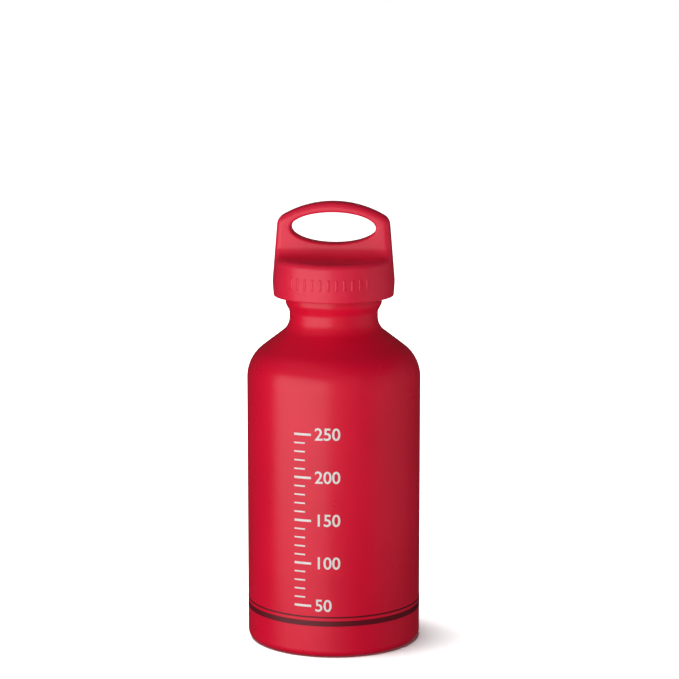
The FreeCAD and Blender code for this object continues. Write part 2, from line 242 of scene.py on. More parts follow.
class PrintSizes(bpy.types.PropertyGroup):
    """The printed level scale and the plain rings at the foot."""

    ink: length("Ink", "Thickness of the print", 0.04 * MM)
    first_level: count("First level", "Lowest mark, in millilitres", 50)
    last_level: count("Last level", "Highest mark, in millilitres", 250)
    level_step: count("Level step", "Between marks, in millilitres", 10)
    long_step: count("Long step", "Between numbered marks, in millilitres", 50)
    dead_height: length("Dead height", "Where an upright cylinder would read zero", 3.56 * MM)
    marks_left: length("Marks left", "Arc from the front to the marks' left ends", -12.0 * MM)
    mark_length: length("Mark length", "Of a short mark", 4.2 * MM)
    long_mark: amount("Long mark", "Times a short mark", 1.55)
    mark_height: length("Mark height", "Thickness of a mark's stroke", 0.55 * MM)
    numeral_size: length("Numeral size", "Type size of the numbers", 6.4 * MM)
    numeral_left: length("Numeral left", "Arc from the front to the numbers", -4.2 * MM)
    slice_width: length("Slice width", "Of the print's facets round the wall", 0.5 * MM)
    ring_level: length("Ring level", "Height of the broad ring's middle", 13.0 * MM)
    ring_width: length("Ring width", "Of the broad ring", 2.0 * MM)
    thin_ring_gap: length("Thin ring gap", "Between the middles of the rings", 2.4 * MM)
    thin_ring_width: length("Thin ring width", "Of the thin ring", 0.6 * MM)


class Finishes(bpy.types.PropertyGroup):
    """Colours of the finishes."""

    coat: colour("Coat", "Red powder coat", (0.80, 0.0045, 0.037))
    coat_deep: colour("Deep coat", "Powder coat where it lies thicker", (0.75, 0.0040, 0.034))
    moulding: colour("Moulding", "Red of the moulded cap", (0.85, 0.018, 0.059))
    moulding_deep: colour("Deep moulding", "Cap red in the flow marks", (0.80, 0.016, 0.054))
    metal: colour("Metal", "Bare aluminium", (0.78, 0.78, 0.77))
    steel: colour("Steel", "Spring steel", (0.56, 0.55, 0.53))
    nylon: colour("Nylon", "Black plug", (0.018, 0.018, 0.020))
    rubber: colour("Rubber", "Black seal", (0.012, 0.012, 0.012))
    white_ink: colour("White ink", "Level scale", (0.86, 0.86, 0.84))
    dark_ink: colour("Dark ink", "Rings at the foot", (0.13, 0.004, 0.012))
    floor: colour("Floor", "Pale floor", (0.90, 0.90, 0.90))


class StageSettings(bpy.types.PropertyGroup):
    """Camera, lights and floor."""

    azimuth: angle("Azimuth", "Of the camera, from the front towards +X", 5.0)
    camera_side: length("Camera side", "To the right of the bottle's axis", 2.15 * MM)
    camera_distance: length("Camera distance", "Level distance from the axis", 884.0 * MM)
    camera_height: length("Camera height", "Above the floor", 263.0 * MM)
    camera_pitch: angle("Camera pitch", "Downward", 9.596)
    lens: amount("Lens", "Focal length in millimetres", 127.2)
    ambient: amount("Ambient", "Brightness of the dim room all round", 0.03)
    key: amount("Key", "Brightness of the softbox on the left", 1.90)
    front: amount("Front fill", "Brightness of the fill beside the camera", 0.97)
    side: amount("Side fill", "Brightness of the fill on the right", 0.80)
    bounce: amount("Bounce", "Brightness of the low fill in front", 1.02)
    overhead: amount("Overhead fill", "Brightness of the high fill", 0.76)
    back: amount("Back", "Brightness of the fill behind", 4.2)
    table_front: amount("Table in front", "Brightness of the table before the bottle", 0.92)
    table_side: amount("Table at the side", "Brightness of the table on the right", 0.38)
    strip: amount("Strip", "Brightness of the low strip behind", 0.8)
    wash: amount("Floor wash", "Brightness of the light on the floor alone", 15.2)
    glow: amount("Floor glow", "Brightness of the floor itself near the bottle", 0.03)


class FuelBottle(bpy.types.PropertyGroup):
    """All settings of the fuel bottle."""

    bottle: PointerProperty(type=BottleSizes)
    stopper: PointerProperty(type=StopperSizes)
    printing: PointerProperty(type=PrintSizes)
    finishes: PointerProperty(type=Finishes)
    stage: PointerProperty(type=StageSettings)


# Outlines and meshes


def rounded_outline(corners):
    """Points along an outline of (r, z, corner radius), with an arc at each rounded corner."""
    points = []
    for i, (r, z, radius) in enumerate(corners):
        corner = Vector((r, z))
        if radius == 0:
            points.append(corner)
            continue
        back = (Vector(corners[i - 1][:2]) - corner).normalized()
        ahead = (Vector(corners[(i + 1) % len(corners)][:2]) - corner).normalized()
        half = back.angle(ahead) / 2
        centre = corner + (back + ahead).normalized() * (radius / math.sin(half))
        start = corner + back * (radius / math.tan(half)) - centre
        sweep = math.copysign(math.pi - 2 * half, ahead.cross(back))
        steps = max(2, math.ceil(abs(sweep) / ARC_STEP))
        for k in range(steps + 1):
            points.append(centre + Matrix.Rotation(sweep * k / steps, 2) @ start)
    return supported(points)


def supported(points):
    """The outline with a point near both ends of each long run, to keep shading in the arcs."""
    outline = [points[0]]
    for here, there in zip(points, points[1:]):
        run = there - here
        if run.length < MERGE_DISTANCE:
            continue
        if run.length > LONG_RUN:
            step = run.normalized() * SUPPORT_GAP
            outline += [here + step, there - step]
        outline.append(there)
    return outline


def dome(radius, edge_z, rise):
    """Points of a dome's section from its middle outward, without its edge."""
    sphere = (radius * radius + rise * rise) / (2 * rise)
    spread = math.asin(radius / sphere)
    points = []
    for k in range(DOME_STEPS):
        tilt = spread * k / DOME_STEPS
        points.append((sphere * math.sin(tilt), edge_z + rise - sphere * (1 - math.cos(tilt)), 0))
    return points


def strip_section(inner, outer, low, high):
    """The four corners of a turned strip's section."""
    corners = ((inner, low), (outer, low), (outer, high), (inner, high))
    return [Vector(corner) for corner in corners]


def lathe(name, outline, segments, closed=False, lift=None):
    """A mesh turned about the Z axis; the outline runs outward along its underside and then up."""
    mesh = bpy.data.meshes.new(name)
    shape = bmesh.new()
    rings = []
    for r, z in outline:
        ring = []
        for k in range(segments if r > MERGE_DISTANCE else 1):
            turn = FULL_TURN * k / segments
            rise = lift(turn) if lift else 0.0
            ring.append(shape.verts.new((r * math.cos(turn), r * math.sin(turn), z + rise)))
        rings.append(ring)
    pairs = list(zip(rings, rings[1:]))
    if closed:
        pairs.append((rings[-1], rings[0]))
    for lower, upper in pairs:
        for k in range(segments):
            n = (k + 1) % segments
            corners = [
                lower[k % len(lower)],
                lower[n % len(lower)],
                upper[n % len(upper)],
                upper[k % len(upper)],
            ]
            shape.faces.new(list(dict.fromkeys(corners)))
    shape.to_mesh(mesh)
    shape.free()
    smooth(mesh)
    return mesh


def smooth(mesh):
    """Shades a mesh smooth, apart from its sharp edges."""
    mesh.shade_smooth()
    mesh.set_sharp_from_angle(angle=SHARP_ANGLE)


def add_object(name, data):
    piece = bpy.data.objects.new(name, data)
    bpy.context.scene.collection.objects.link(piece)
    return piece


def plain_mesh(holder):
    """The evaluated mesh of an object, as plain mesh data."""
    graph = bpy.context.evaluated_depsgraph_get()
    return bpy.data.meshes.new_from_object(holder.evaluated_get(graph), depsgraph=graph)


def freeze(piece):
    """Gives an object the mesh that its modifiers make, and clears them."""
    mesh = plain_mesh(piece)
    piece.modifiers.clear()
    piece.data = mesh
    mesh.name = piece.name


def merged_copy(node, name):
    """A copy of a CAD node with its triangles joined and its flat faces kept flat beside rounds."""
    mesh = frame["nodes"][node].data.copy()
    mesh.materials.clear()
    shape = bmesh.new()
    shape.from_mesh(mesh)
    bmesh.ops.remove_doubles(shape, verts=shape.verts, dist=MERGE_DISTANCE)
    shape.to_mesh(mesh)
    shape.free()
    smooth(mesh)
    piece = add_object(name, mesh)
    piece.modifiers.new("Flat faces", "WEIGHTED_NORMAL").keep_sharp = True
    freeze(piece)
    return piece


def settle(piece, body, stands_for=None):
    """Hands a finished piece to its body and the CAD node that it stands for."""
    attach(piece, body)
    if stands_for:
        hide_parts(stands_for)


# Node wiring


def link(tree, source, target):
    """Feeds a node's input from a socket, or sets it to a plain value."""
    if isinstance(source, bpy.types.NodeSocket):
        tree.links.new(source, target)
    else:
        target.default_value = source


def add_node(tree, kind, inputs=None, **settings):
    """A node with its settings made and its inputs fed by name or by number."""
    node = tree.nodes.new(kind)
    for key, value in settings.items():
        setattr(node, key, value)
    for key, source in (inputs or {}).items():
        link(tree, source, node.inputs[key])
    return node


def calc(tree, operation, *values, clamp=False):
    """The result of a Math node."""
    inputs = dict(enumerate(values))
    node = add_node(tree, "ShaderNodeMath", inputs, operation=operation, use_clamp=clamp)
    return node.outputs[0]


def vector_calc(tree, operation, *values, scale=None):
    """The result of a Vector Math node."""
    inputs = dict(enumerate(values))
    if scale is not None:
        inputs["Scale"] = scale
    node = add_node(tree, "ShaderNodeVectorMath", inputs, operation=operation)
    return node.outputs["Value" if operation == "LENGTH" else "Vector"]


def combined(tree, x=0.0, y=0.0, z=0.0):
    """A vector put together from its parts."""
    return add_node(tree, "ShaderNodeCombineXYZ", {0: x, 1: y, 2: z}).outputs[0]


def parts(tree, place):
    """X, Y and Z of a vector."""
    return add_node(tree, "ShaderNodeSeparateXYZ", {0: place}).outputs


def ranged(tree, value, low, high, to_low, to_high):
    """A value mapped from one range to another, with soft ends."""
    inputs = {"Value": value, "From Min": low, "From Max": high}
    inputs |= {"To Min": to_low, "To Max": to_high}
    node = add_node(tree, "ShaderNodeMapRange", inputs, interpolation_type="SMOOTHSTEP")
    return node.outputs["Result"]


def new_group(name, kind, inputs, output):
    """A group with named sockets; returns its tree, its input sockets and its output node."""
    tree = bpy.data.node_groups.new(name, kind)
    for label, socket, value in inputs:
        made = tree.interface.new_socket(label, in_out="INPUT", socket_type=socket)
        if value is not None:
            made.default_value = value
    label, socket = output
    tree.interface.new_socket(label, in_out="OUTPUT", socket_type=socket)
    return tree, tree.nodes.new("NodeGroupInput").outputs, tree.nodes.new("NodeGroupOutput")


# Geometry Nodes trees


def grown(name, tree, values, start=None):
    """An object whose mesh a Geometry Nodes tree makes, kept as a plain mesh."""
    piece = add_object(name, start or bpy.data.meshes.new(name))
    modifier = piece.modifiers.new(tree.name, "NODES")
    modifier.node_group = tree
    for socket in tree.interface.items_tree:
        if socket.in_out == "INPUT" and socket.name in values:
            modifier[socket.identifier] = values[socket.name]
    freeze(piece)
    smooth(piece.data)
    return piece


def point_parts(tree):
    """X, Y and Z of each point."""
    return parts(tree, add_node(tree, "GeometryNodeInputPosition").outputs[0])


def placed(tree, shape, place):
    """The shape with its points at new places."""
    inputs = {"Geometry": shape, "Position": place}
    return add_node(tree, "GeometryNodeSetPosition", inputs).outputs[0]


def wrap_tree(name):
    """Bends a flat layout, with x along and -y proud, round the Z axis with x = 0 at the front."""
    tree, given, out = new_group(
        name,
        GEOMETRY_TREE,
        [("Shape", SHAPE, None), ("Radius", NUMBER, 0.01), ("Rise per Turn", NUMBER, 0.0)],
        ("Shape", SHAPE),
    )
    x, y, z = point_parts(tree)
    turn = calc(tree, "DIVIDE", x, given["Radius"])
    reach = calc(tree, "SUBTRACT", given["Radius"], y)
    turns = calc(tree, "DIVIDE", turn, FULL_TURN)
    forward = calc(tree, "MULTIPLY", calc(tree, "COSINE", turn), -1.0)
    place = combined(
        tree,
        calc(tree, "MULTIPLY", reach, calc(tree, "SINE", turn)),
        calc(tree, "MULTIPLY", reach, forward),
        calc(tree, "MULTIPLY_ADD", turns, given["Rise per Turn"], z),
    )
    link(tree, placed(tree, given["Shape"], place), out.inputs[0])
    return tree


def wrapped(tree, shape, radius, rise=0.0):
    """The shape bent round the axis by a group that all the trees share."""
    name = "Wrap round axis"
    wrap = bpy.data.node_groups.get(name) or wrap_tree(name)
    inputs = {"Shape": shape, "Radius": radius, "Rise per Turn": rise}
    return add_node(tree, "GeometryNodeGroup", inputs, node_tree=wrap).outputs[0]


def block(tree, size, across, deep, tall):
    """A subdivided block round the origin."""
    inputs = {"Size": size, "Vertices X": across, "Vertices Y": deep, "Vertices Z": tall}
    return add_node(tree, "GeometryNodeMeshCube", inputs).outputs["Mesh"]


def row(tree, shape, number, start, step, scale=None):
    """Real copies of a shape, in a straight row of points."""
    inputs = {"Count": number, "Start Location": start, "Offset": step}
    line = add_node(tree, "GeometryNodeMeshLine", inputs).outputs[0]
    inputs = {"Points": line, "Instance": shape}
    if scale:
        inputs["Scale"] = scale
    copies = add_node(tree, "GeometryNodeInstanceOnPoints", inputs).outputs[0]
    return add_node(tree, "GeometryNodeRealizeInstances", {0: copies}).outputs[0]


def painted(tree, out, shape, finish):
    """Ends a tree with its material."""
    inputs = {"Geometry": shape, "Material": finish}
    link(tree, add_node(tree, "GeometryNodeSetMaterial", inputs).outputs[0], out.inputs[0])


def crest(tree, offset, size, power):
    """One along the middle of a ridge, fading to nothing at its edges."""
    share = calc(tree, "DIVIDE", calc(tree, "MULTIPLY", offset, 2.0), size)
    fall = calc(tree, "POWER", calc(tree, "ABSOLUTE", share), power)
    return calc(tree, "SUBTRACT", 1.0, fall)


def thread_tree():
    """Ridges of a screw thread with round crests and faded ends; a negative depth faces inward."""
    tree, given, out = new_group(
        "Screw thread",
        GEOMETRY_TREE,
        [
            ("Radius", NUMBER, 0.013),
            ("Depth", NUMBER, 0.001),
            ("Embed", NUMBER, 0.0003),
            ("Width", NUMBER, 0.0017),
            ("Pitch", NUMBER, 0.003),
            ("Start Height", NUMBER, 0.0),
            ("Start Angle", NUMBER, 0.0),
            ("Bars", WHOLE, 1),
            ("Bar Span", NUMBER, math.pi),
            ("Bar Step", NUMBER, math.pi),
            ("Run-out", NUMBER, 0.004),
            ("Finish", FINISH, None),
        ],
        ("Shape", SHAPE),
    )
    run = calc(tree, "MULTIPLY", given["Bar Span"], given["Radius"])
    half_run = calc(tree, "DIVIDE", run, 2.0)
    facets = calc(tree, "MULTIPLY", given["Bar Span"], THREAD_FACETS_PER_TURN / FULL_TURN)
    bar = block(tree, combined(tree, run, 1.0, given["Width"]), facets, 2, THREAD_FACETS_UP)
    x, y, z = point_parts(tree)
    to_end = calc(tree, "SUBTRACT", half_run, calc(tree, "ABSOLUTE", x))
    fade = ranged(tree, to_end, 0.0, given["Run-out"], 0.0, 1.0)
    shape = calc(tree, "MULTIPLY", fade, crest(tree, z, given["Width"], THREAD_ROUNDNESS))
    side = calc(tree, "SIGN", given["Depth"])
    on_crest = calc(tree, "LESS_THAN", calc(tree, "MULTIPLY", y, side), 0.0)
    root = calc(tree, "MULTIPLY", side, given["Embed"])
    crest_y = calc(tree, "MULTIPLY", calc(tree, "MULTIPLY", given["Depth"], shape), -1.0)
    y = calc(tree, "MULTIPLY_ADD", on_crest, calc(tree, "SUBTRACT", crest_y, root), root)
    ridge = placed(tree, bar, combined(tree, calc(tree, "ADD", x, half_run), y, z))
    start_x = calc(tree, "MULTIPLY", given["Start Angle"], given["Radius"])
    start = combined(tree, start_x, z=given["Start Height"])
    step = combined(tree, calc(tree, "MULTIPLY", given["Bar Step"], given["Radius"]))
    ridges = row(tree, ridge, given["Bars"], start, step)
    thread = wrapped(tree, ridges, given["Radius"], given["Pitch"])
    painted(tree, out, thread, given["Finish"])
    return tree


def level_tree():
    """A column of printed marks on the wall, longer and bolder at a regular step."""
    tree, given, out = new_group(
        "Level marks",
        GEOMETRY_TREE,
        [
            ("Radius", NUMBER, 0.0325),
            ("Ink", NUMBER, 0.00004),
            ("Marks", WHOLE, 21),
            ("Left", NUMBER, 0.0),
            ("Lowest", NUMBER, 0.02),
            ("Step", NUMBER, 0.003),
            ("Length", NUMBER, 0.004),
            ("Stroke", NUMBER, 0.0005),
            ("Long Every", WHOLE, 5),
            ("Long Scale", NUMBER, 1.5),
            ("Finish", FINISH, None),
        ],
        ("Shape", SHAPE),
    )
    thick = calc(tree, "MULTIPLY", given["Ink"], 2.0)
    size = combined(tree, given["Length"], thick, given["Stroke"])
    mark = block(tree, size, MARK_FACETS, 2, 2)
    x, y, z = point_parts(tree)
    from_left = calc(tree, "ADD", x, calc(tree, "DIVIDE", given["Length"], 2.0))
    mark = placed(tree, mark, combined(tree, from_left, y, z))
    start = combined(tree, given["Left"], z=given["Lowest"])
    step = combined(tree, z=given["Step"])
    number = add_node(tree, "GeometryNodeInputIndex").outputs[0]
    is_long = calc(tree, "LESS_THAN", calc(tree, "MODULO", number, given["Long Every"]), 0.5)
    growth = calc(tree, "SUBTRACT", given["Long Scale"], 1.0)
    stretch = calc(tree, "MULTIPLY_ADD", is_long, growth, 1.0)
    scale = combined(tree, stretch, 1.0, stretch)
    marks = row(tree, mark, given["Marks"], start, step, scale)
    wall = calc(tree, "SUBTRACT", given["Radius"], given["Ink"])
    painted(tree, out, wrapped(tree, marks, wall), given["Finish"])
    return tree


def print_tree():
    """Wraps flat printed shapes round the wall."""
    tree, given, out = new_group(
        "Wall print",
        GEOMETRY_TREE,
        [("Shape", SHAPE, None), ("Radius", NUMBER, 0.0325), ("Finish", FINISH, None)],
        ("Shape", SHAPE),
    )
    real = add_node(tree, "GeometryNodeRealizeInstances", {0: given["Shape"]}).outputs[0]
    painted(tree, out, wrapped(tree, real, given["Radius"]), given["Finish"])
    return tree


def grip_tree():
    """Low pillow-shaped bars that lie on the cap's skirt, on its front and its back."""
    tree, given, out = new_group(
        "Grip bars",
        GEOMETRY_TREE,
        [
            ("Skirt", THING, None),
            ("Radius", NUMBER, 0.0225),
            ("Level", NUMBER, 0.137),
            ("Bars", WHOLE, 11),
            ("Pitch", NUMBER, 0.003),
            ("Width", NUMBER, 0.001),
            ("Height", NUMBER, 0.0044),
            ("Relief", NUMBER, 0.0002),
            ("Finish", FINISH, None),
        ],
        ("Shape", SHAPE),
    )
    size = combined(tree, given["Width"], 1.0, given["Height"])
    bar = block(tree, size, BAR_FACETS_ACROSS, 2, BAR_FACETS_UP)
    x, y, z = point_parts(tree)
    across = crest(tree, x, given["Width"], BAR_ROUNDNESS_ACROSS)
    upward = crest(tree, z, given["Height"], BAR_ROUNDNESS_UP)
    pillow = calc(tree, "SUBTRACT", calc(tree, "MULTIPLY", across, upward), BAR_EDGE_SINK)
    front = calc(tree, "MULTIPLY", pillow, given["Relief"])
    back = calc(tree, "MULTIPLY", given["Relief"], -1.0)
    is_front = calc(tree, "LESS_THAN", y, 0.0)
    proud = calc(tree, "MULTIPLY_ADD", is_front, calc(tree, "SUBTRACT", front, back), back)
    bar = placed(tree, bar, combined(tree, x, calc(tree, "MULTIPLY", proud, -1.0), z))
    gaps = calc(tree, "SUBTRACT", given["Bars"], 1.0)
    row_left = calc(tree, "MULTIPLY", gaps, calc(tree, "MULTIPLY", given["Pitch"], -0.5))
    start = combined(tree, row_left, z=given["Level"])
    front_row = row(tree, bar, given["Bars"], start, combined(tree, given["Pitch"]))
    half_way = combined(tree, calc(tree, "MULTIPLY", given["Radius"], math.pi))
    both = row(tree, front_row, 2, (0.0, 0.0, 0.0), half_way)
    bent = wrapped(tree, both, given["Radius"])
    seat = skirt_seat(tree, given["Skirt"], given["Radius"])
    painted(tree, out, placed(tree, bent, seat), given["Finish"])
    return tree


def skirt_seat(tree, skirt, radius):
    """Places for points that stand on a cylinder, moved onto the skirt's own outside."""
    x, y, z = point_parts(tree)
    level = combined(tree, x, y)
    outward = vector_calc(tree, "NORMALIZE", level)
    far = vector_calc(tree, "SCALE", outward, scale=calc(tree, "MULTIPLY", radius, 2.0))
    eye = vector_calc(tree, "ADD", far, combined(tree, z=z))
    inward = vector_calc(tree, "SCALE", outward, scale=-1.0)
    target = add_node(tree, "GeometryNodeObjectInfo", {"Object": skirt}).outputs["Geometry"]
    inputs = {"Target Geometry": target, "Source Position": eye, "Ray Direction": inward}
    hit = add_node(tree, "GeometryNodeRaycast", inputs).outputs["Hit Position"]
    lift = calc(tree, "SUBTRACT", vector_calc(tree, "LENGTH", level), radius)
    return vector_calc(tree, "ADD", hit, vector_calc(tree, "SCALE", outward, scale=lift))


# Finishes


def chosen_shades():
    return bpy.context.scene.fuel_bottle.finishes


def times(shade, share):
    """A shade made deeper or paler."""
    return [share * part for part in shade]


def noise(tree, place, scale, detail):
    inputs = {"Vector": place, "Scale": scale, "Detail": detail, "Roughness": NOISE_ROUGHNESS}
    return add_node(tree, "ShaderNodeTexNoise", inputs).outputs["Fac"]


def mixed(tree, mask, under, over):
    """One colour over another by a mask; a Mix node's colour sockets are found by number."""
    mix = add_node(tree, "ShaderNodeMix", {0: mask, 6: under, 7: over}, data_type="RGBA")
    return mix.outputs[2]


def grain_group(name):
    """Height of a fine skin: soft dimples with a finer grain over them."""
    tree, given, out = new_group(
        name,
        SHADER_TREE,
        [
            ("Place", PLACE, None),
            ("Dimples", NUMBER, 900.0),
            ("Grain", NUMBER, 5000.0),
            ("Grain Share", NUMBER, 0.3),
        ],
        ("Height", NUMBER),
    )
    dimples = noise(tree, given["Place"], given["Dimples"], detail=1.0)
    grain = noise(tree, given["Place"], given["Grain"], detail=1.0)
    height = calc(tree, "MULTIPLY_ADD", grain, given["Grain Share"], dimples)
    link(tree, height, out.inputs[0])
    return tree


def drift_group(name):
    """A colour that drifts between two close shades."""
    tree, given, out = new_group(
        name,
        SHADER_TREE,
        [
            ("Place", PLACE, None),
            ("Scale", NUMBER, 40.0),
            ("Shade", TINT, None),
            ("Deep Shade", TINT, None),
        ],
        ("Color", TINT),
    )
    clouds = noise(tree, given["Place"], given["Scale"], detail=3.0)
    share = ranged(tree, clouds, *DRIFT_RANGE, 0.0, 1.0)
    link(tree, mixed(tree, share, given["Shade"], given["Deep Shade"]), out.inputs[0])
    return tree


def handling_group(name):
    """Roughness that varies where hands have polished or smudged the surface."""
    tree, given, out = new_group(
        name,
        SHADER_TREE,
        [
            ("Place", PLACE, None),
            ("Scale", NUMBER, 60.0),
            ("Smooth", NUMBER, 0.3),
            ("Dull", NUMBER, 0.4),
        ],
        ("Roughness", NUMBER),
    )
    patches = noise(tree, given["Place"], given["Scale"], detail=4.0)
    fine = calc(tree, "MULTIPLY", given["Scale"], SPECK_FINENESS)
    specks = noise(tree, given["Place"], fine, detail=2.0)
    broad = calc(tree, "MULTIPLY", patches, 1.0 - SPECK_SHARE)
    both = calc(tree, "MULTIPLY_ADD", specks, SPECK_SHARE, broad)
    roughness = ranged(tree, both, *HANDLING_RANGE, given["Smooth"], given["Dull"])
    link(tree, roughness, out.inputs[0])
    return tree


def scuff_group(name):
    """A broken mask near one height, where the piece is set down or knocked."""
    tree, given, out = new_group(
        name,
        SHADER_TREE,
        [
            ("Place", PLACE, None),
            ("Level", NUMBER, 0.0),
            ("Reach", NUMBER, 0.001),
            ("Scale", NUMBER, 900.0),
        ],
        ("Mask", NUMBER),
    )
    z = parts(tree, given["Place"])["Z"]
    away = calc(tree, "ABSOLUTE", calc(tree, "SUBTRACT", z, given["Level"]))
    near = calc(tree, "SUBTRACT", 1.0, calc(tree, "DIVIDE", away, given["Reach"], clamp=True))
    specks = noise(tree, given["Place"], given["Scale"], detail=4.0)
    broken = ranged(tree, specks, *SCUFF_RANGE, 0.0, 1.0)
    link(tree, calc(tree, "MULTIPLY", near, broken), out.inputs[0])
    return tree


EFFECTS = {
    "Fine grain": grain_group,
    "Tone drift": drift_group,
    "Handling": handling_group,
    "Scuffs": scuff_group,
}


class Finish:
    """A material in the making; its patterns lie in Object coordinates, in features per metre."""

    def __init__(self, name):
        self.material = bpy.data.materials.new(name)
        self.material.use_nodes = True
        self.tree = self.material.node_tree
        self.shader = self.tree.nodes["Principled BSDF"]
        self.place = self.tree.nodes.new("ShaderNodeTexCoord").outputs["Object"]

    def effect(self, name, **values):
        """The output of a shared effect group, placed here with its own values."""
        group = bpy.data.node_groups.get(name) or EFFECTS[name](name)
        inputs = {label.replace("_", " "): value for label, value in values.items()}
        inputs["Place"] = self.place
        return add_node(self.tree, "ShaderNodeGroup", inputs, node_tree=group).outputs[0]

    def feed(self, **inputs):
        """Feeds or sets sockets of the shader."""
        for label, source in inputs.items():
            link(self.tree, source, self.shader.inputs[label.replace("_", " ")])

    def tint(self, shade, deep, scale):
        """A base colour that drifts between two shades."""
        tone = self.effect("Tone drift", Scale=scale, Shade=(*shade, 1.0), Deep_Shade=(*deep, 1.0))
        self.feed(Base_Color=tone)

    def touch(self, polished, dull, scale):
        """A roughness between that of polished and that of dull spots."""
        self.feed(Roughness=self.effect("Handling", Scale=scale, Smooth=polished, Dull=dull))

    def texture(self, dimples, grain, share, height):
        """A fine skin of dimples with a share of finer grain, and its height."""
        skin = self.effect("Fine grain", Dimples=dimples, Grain=grain, Grain_Share=share)
        self.emboss(skin, height)

    def emboss(self, pattern, height, strength=1.0):
        """Raises a pattern, over any that is there already."""
        inputs = {"Height": pattern, "Distance": height, "Strength": strength}
        bump = add_node(self.tree, "ShaderNodeBump", inputs)
        normal = self.shader.inputs["Normal"]
        if normal.is_linked:
            link(self.tree, normal.links[0].from_socket, bump.inputs["Normal"])
        link(self.tree, bump.outputs["Normal"], normal)

    def wear(self, level, reach, scale, share, worn):
        """Lets a worn shade through the base colour near one height."""
        scuffs = self.effect("Scuffs", Level=level, Reach=reach, Scale=scale)
        mask = calc(self.tree, "MULTIPLY", scuffs, share)
        fresh = self.shader.inputs["Base Color"].links[0].from_socket
        self.feed(Base_Color=mixed(self.tree, mask, fresh, (*worn, 1.0)))


def powder_coat(name):
    """Satin red powder coat with a faint orange peel, scuffed along the foot."""
    shades = chosen_shades()
    coat = Finish(name)
    coat.tint(shades.coat, shades.coat_deep, scale=30.0)
    coat.wear(level=0.0, reach=0.9 * MM, scale=700.0, share=FOOT_WEAR, worn=shades.metal)
    coat.touch(polished=0.27, dull=0.34, scale=45.0)
    coat.texture(dimples=800.0, grain=4500.0, share=0.25, height=0.012 * MM)
    coat.feed(Specular_IOR_Level=SATIN_SPECULAR)
    return coat.material


def bare_metal(name):
    """Bare aluminium with the fine rings that drawing and turning leave."""
    shade = chosen_shades().metal
    metal = Finish(name)
    metal.tint(shade, times(shade, 0.86), scale=60.0)
    metal.touch(polished=0.30, dull=0.44, scale=80.0)
    x, y, z = parts(metal.tree, metal.place)
    radius = vector_calc(metal.tree, "LENGTH", combined(metal.tree, x, y))
    rings = noise(metal.tree, combined(metal.tree, radius, z=z), scale=3500.0, detail=3.0)
    metal.emboss(rings, height=0.01 * MM)
    metal.feed(Metallic=1.0)
    return metal.material


def cap_moulding(name):
    """Moulded red plastic with a fine spark-eroded grain and the mould's parting line."""
    shades = chosen_shades()
    worn = [WORN_WHITENESS + part for part in times(shades.moulding, 1.0 - WORN_WHITENESS)]
    skin = Finish(name)
    skin.tint(shades.moulding, shades.moulding_deep, scale=55.0)
    skin.wear(level=CAP_HIGH.z, reach=1.2 * MM, scale=800.0, share=CROWN_WEAR, worn=worn)
    skin.touch(polished=0.28, dull=0.36, scale=70.0)
    skin.texture(dimples=2600.0, grain=9000.0, share=0.5, height=0.004 * MM)
    from_seam = calc(skin.tree, "ABSOLUTE", parts(skin.tree, skin.place)["Y"])
    seam = ranged(skin.tree, from_seam, SEAM_TOP, SEAM_EDGE, 1.0, 0.0)
    skin.emboss(seam, height=0.03 * MM, strength=0.6)
    skin.feed(Specular_IOR_Level=SATIN_SPECULAR)
    return skin.material


def black_nylon(name):
    """Glass-filled black nylon, dull with faint flow marks."""
    shade = chosen_shades().nylon
    nylon = Finish(name)
    nylon.tint(shade, times(shade, 1.5), scale=90.0)
    nylon.touch(polished=0.40, dull=0.54, scale=110.0)
    nylon.texture(dimples=1800.0, grain=7000.0, share=0.6, height=0.015 * MM)
    return nylon.material


def seal_rubber(name):
    """Matt nitrile rubber with a dusty bloom."""
    shade = chosen_shades().rubber
    rubber = Finish(name)
    rubber.tint(shade, times(shade, 2.2), scale=250.0)
    rubber.touch(polished=0.58, dull=0.75, scale=200.0)
    rubber.texture(dimples=3000.0, grain=9000.0, share=0.6, height=0.01 * MM)
    return rubber.material


def spring_steel(name):
    """Rolled spring strip with a fine satin grain."""
    shade = chosen_shades().steel
    steel = Finish(name)
    steel.tint(shade, times(shade, 0.8), scale=300.0)
    steel.touch(polished=0.24, dull=0.38, scale=300.0)
    steel.texture(dimples=2500.0, grain=12000.0, share=0.6, height=0.006 * MM)
    steel.feed(Metallic=1.0)
    return steel.material


def screen_ink(name, shade):
    """Screen-printed ink, a little uneven where it lies thin."""
    ink = Finish(name)
    ink.tint(shade, times(shade, 0.93), scale=400.0)
    ink.touch(polished=0.38, dull=0.5, scale=200.0)
    ink.texture(dimples=1500.0, grain=6000.0, share=0.4, height=0.008 * MM)
    return ink.material


def white_ink(name):
    return screen_ink(name, chosen_shades().white_ink)


def dark_ink(name):
    return screen_ink(name, chosen_shades().dark_ink)


def pale_floor(name):
    """Smooth pale board with a very faint mottling; it glows, barely near the bottle and fully
    white far from it, a painted glow that runs it out into the white room.
    """
    shade = chosen_shades().floor
    near_glow = bpy.context.scene.fuel_bottle.stage.glow
    board = Finish(name)
    board.tint(shade, times(shade, 0.985), scale=6.0)
    board.touch(polished=0.75, dull=0.85, scale=8.0)
    # Painted glow: the board's own emission, from the near glow setting beside the bottle up to
    # full white further out.
    away = vector_calc(board.tree, "LENGTH", board.place)
    glow = ranged(board.tree, away, FLOOR_NEAR, FLOOR_FAR, near_glow, 1.0)
    board.feed(Emission_Color=glow, Emission_Strength=1.0)
    return board.material


MATERIALS = {
    "red_powder_coat": powder_coat,
    "bare_aluminium": bare_metal,
    "cap_plastic": cap_moulding,
    "plug_nylon": black_nylon,
    "seal_rubber": seal_rubber,
    "bright_steel": spring_steel,
    "white_ink": white_ink,
    "dark_ink": dark_ink,
    "pale_floor": pale_floor,
}


def material(name):
    """The material of that name, made once."""
    return bpy.data.materials.get(name) or MATERIALS[name](name)


# Operators


